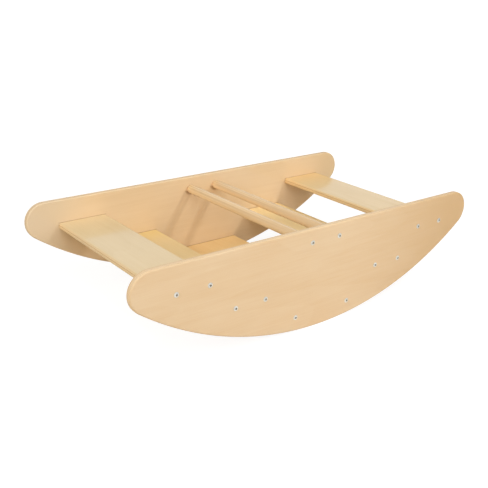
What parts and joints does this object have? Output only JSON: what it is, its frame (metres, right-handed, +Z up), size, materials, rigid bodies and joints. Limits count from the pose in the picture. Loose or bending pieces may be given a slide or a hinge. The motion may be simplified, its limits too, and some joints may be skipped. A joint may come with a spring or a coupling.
{
  "type": "rocking boat",
  "caption": "Wooden rocking boat for small children: curved plywood sides joined by seats, foot boards, a floor board and round handles. Turned over, it stands as steps.",
  "frame": {"origin": "on the floor under the middle of the boat, where the rocking arcs touch down", "axes": "+X along the boat, from its left end to its right end; +Y across it, from the front side to the back; +Z up"},
  "size_m": [1.195, 0.605, 0.29],
  "materials": {
    "panel_plywood": "clear satin lacquer on birch plywood",
    "board_plywood": "clear satin lacquer on birch plywood",
    "handle_wood": "clear satin lacquer on birch dowel",
    "zinc_plate": "zinc plated, satin",
    "bare_steel": "plain machined steel"
  },
  "bodies": {
    "root": {"barrel_nut_back_floor_board_left": "bare_steel", "barrel_nut_back_floor_board_right": "bare_steel", "barrel_nut_back_foot_board_left_inner": "bare_steel", "barrel_nut_back_foot_board_left_outer": "bare_steel", "barrel_nut_back_foot_board_right_inner": "bare_steel", "barrel_nut_back_foot_board_right_outer": "bare_steel", "barrel_nut_back_seat_left_inner": "bare_steel", "barrel_nut_back_seat_left_outer": "bare_steel", "barrel_nut_back_seat_right_inner": "bare_steel", "barrel_nut_back_seat_right_outer": "bare_steel", "barrel_nut_front_floor_board_left": "bare_steel", "barrel_nut_front_floor_board_right": "bare_steel", "barrel_nut_front_foot_board_left_inner": "bare_steel", "barrel_nut_front_foot_board_left_outer": "bare_steel", "barrel_nut_front_foot_board_right_inner": "bare_steel", "barrel_nut_front_foot_board_right_outer": "bare_steel", "barrel_nut_front_seat_left_inner": "bare_steel", "barrel_nut_front_seat_left_outer": "bare_steel", "barrel_nut_front_seat_right_inner": "bare_steel", "barrel_nut_front_seat_right_outer": "bare_steel", "bolt_back_floor_board_left": "zinc_plate", "bolt_back_floor_board_right": "zinc_plate", "bolt_back_foot_board_left_inner": "zinc_plate", "bolt_back_foot_board_left_outer": "zinc_plate", "bolt_back_foot_board_right_inner": "zinc_plate", "bolt_back_foot_board_right_outer": "zinc_plate", "bolt_back_handle_left": "zinc_plate", "bolt_back_handle_right": "zinc_plate", "bolt_back_seat_left_inner": "zinc_plate", "bolt_back_seat_left_outer": "zinc_plate", "bolt_back_seat_right_inner": "zinc_plate", "bolt_back_seat_right_outer": "zinc_plate", "bolt_front_floor_board_left": "zinc_plate", "bolt_front_floor_board_right": "zinc_plate", "bolt_front_foot_board_left_inner": "zinc_plate", "bolt_front_foot_board_left_outer": "zinc_plate", "bolt_front_foot_board_right_inner": "zinc_plate", "bolt_front_foot_board_right_outer": "zinc_plate", "bolt_front_handle_left": "zinc_plate", "bolt_front_handle_right": "zinc_plate", "bolt_front_seat_left_inner": "zinc_plate", "bolt_front_seat_left_outer": "zinc_plate", "bolt_front_seat_right_inner": "zinc_plate", "bolt_front_seat_right_outer": "zinc_plate", "floor_board": "board_plywood", "foot_board_left": "board_plywood", "foot_board_right": "board_plywood", "handle_left": "handle_wood", "handle_right": "handle_wood", "insert_back_handle_left": "bare_steel", "insert_back_handle_right": "bare_steel", "insert_front_handle_left": "bare_steel", "insert_front_handle_right": "bare_steel", "seat_left": "board_plywood", "seat_right": "board_plywood", "side_panel_back": "panel_plywood", "side_panel_front": "panel_plywood"}
  },
  "joints": []
}
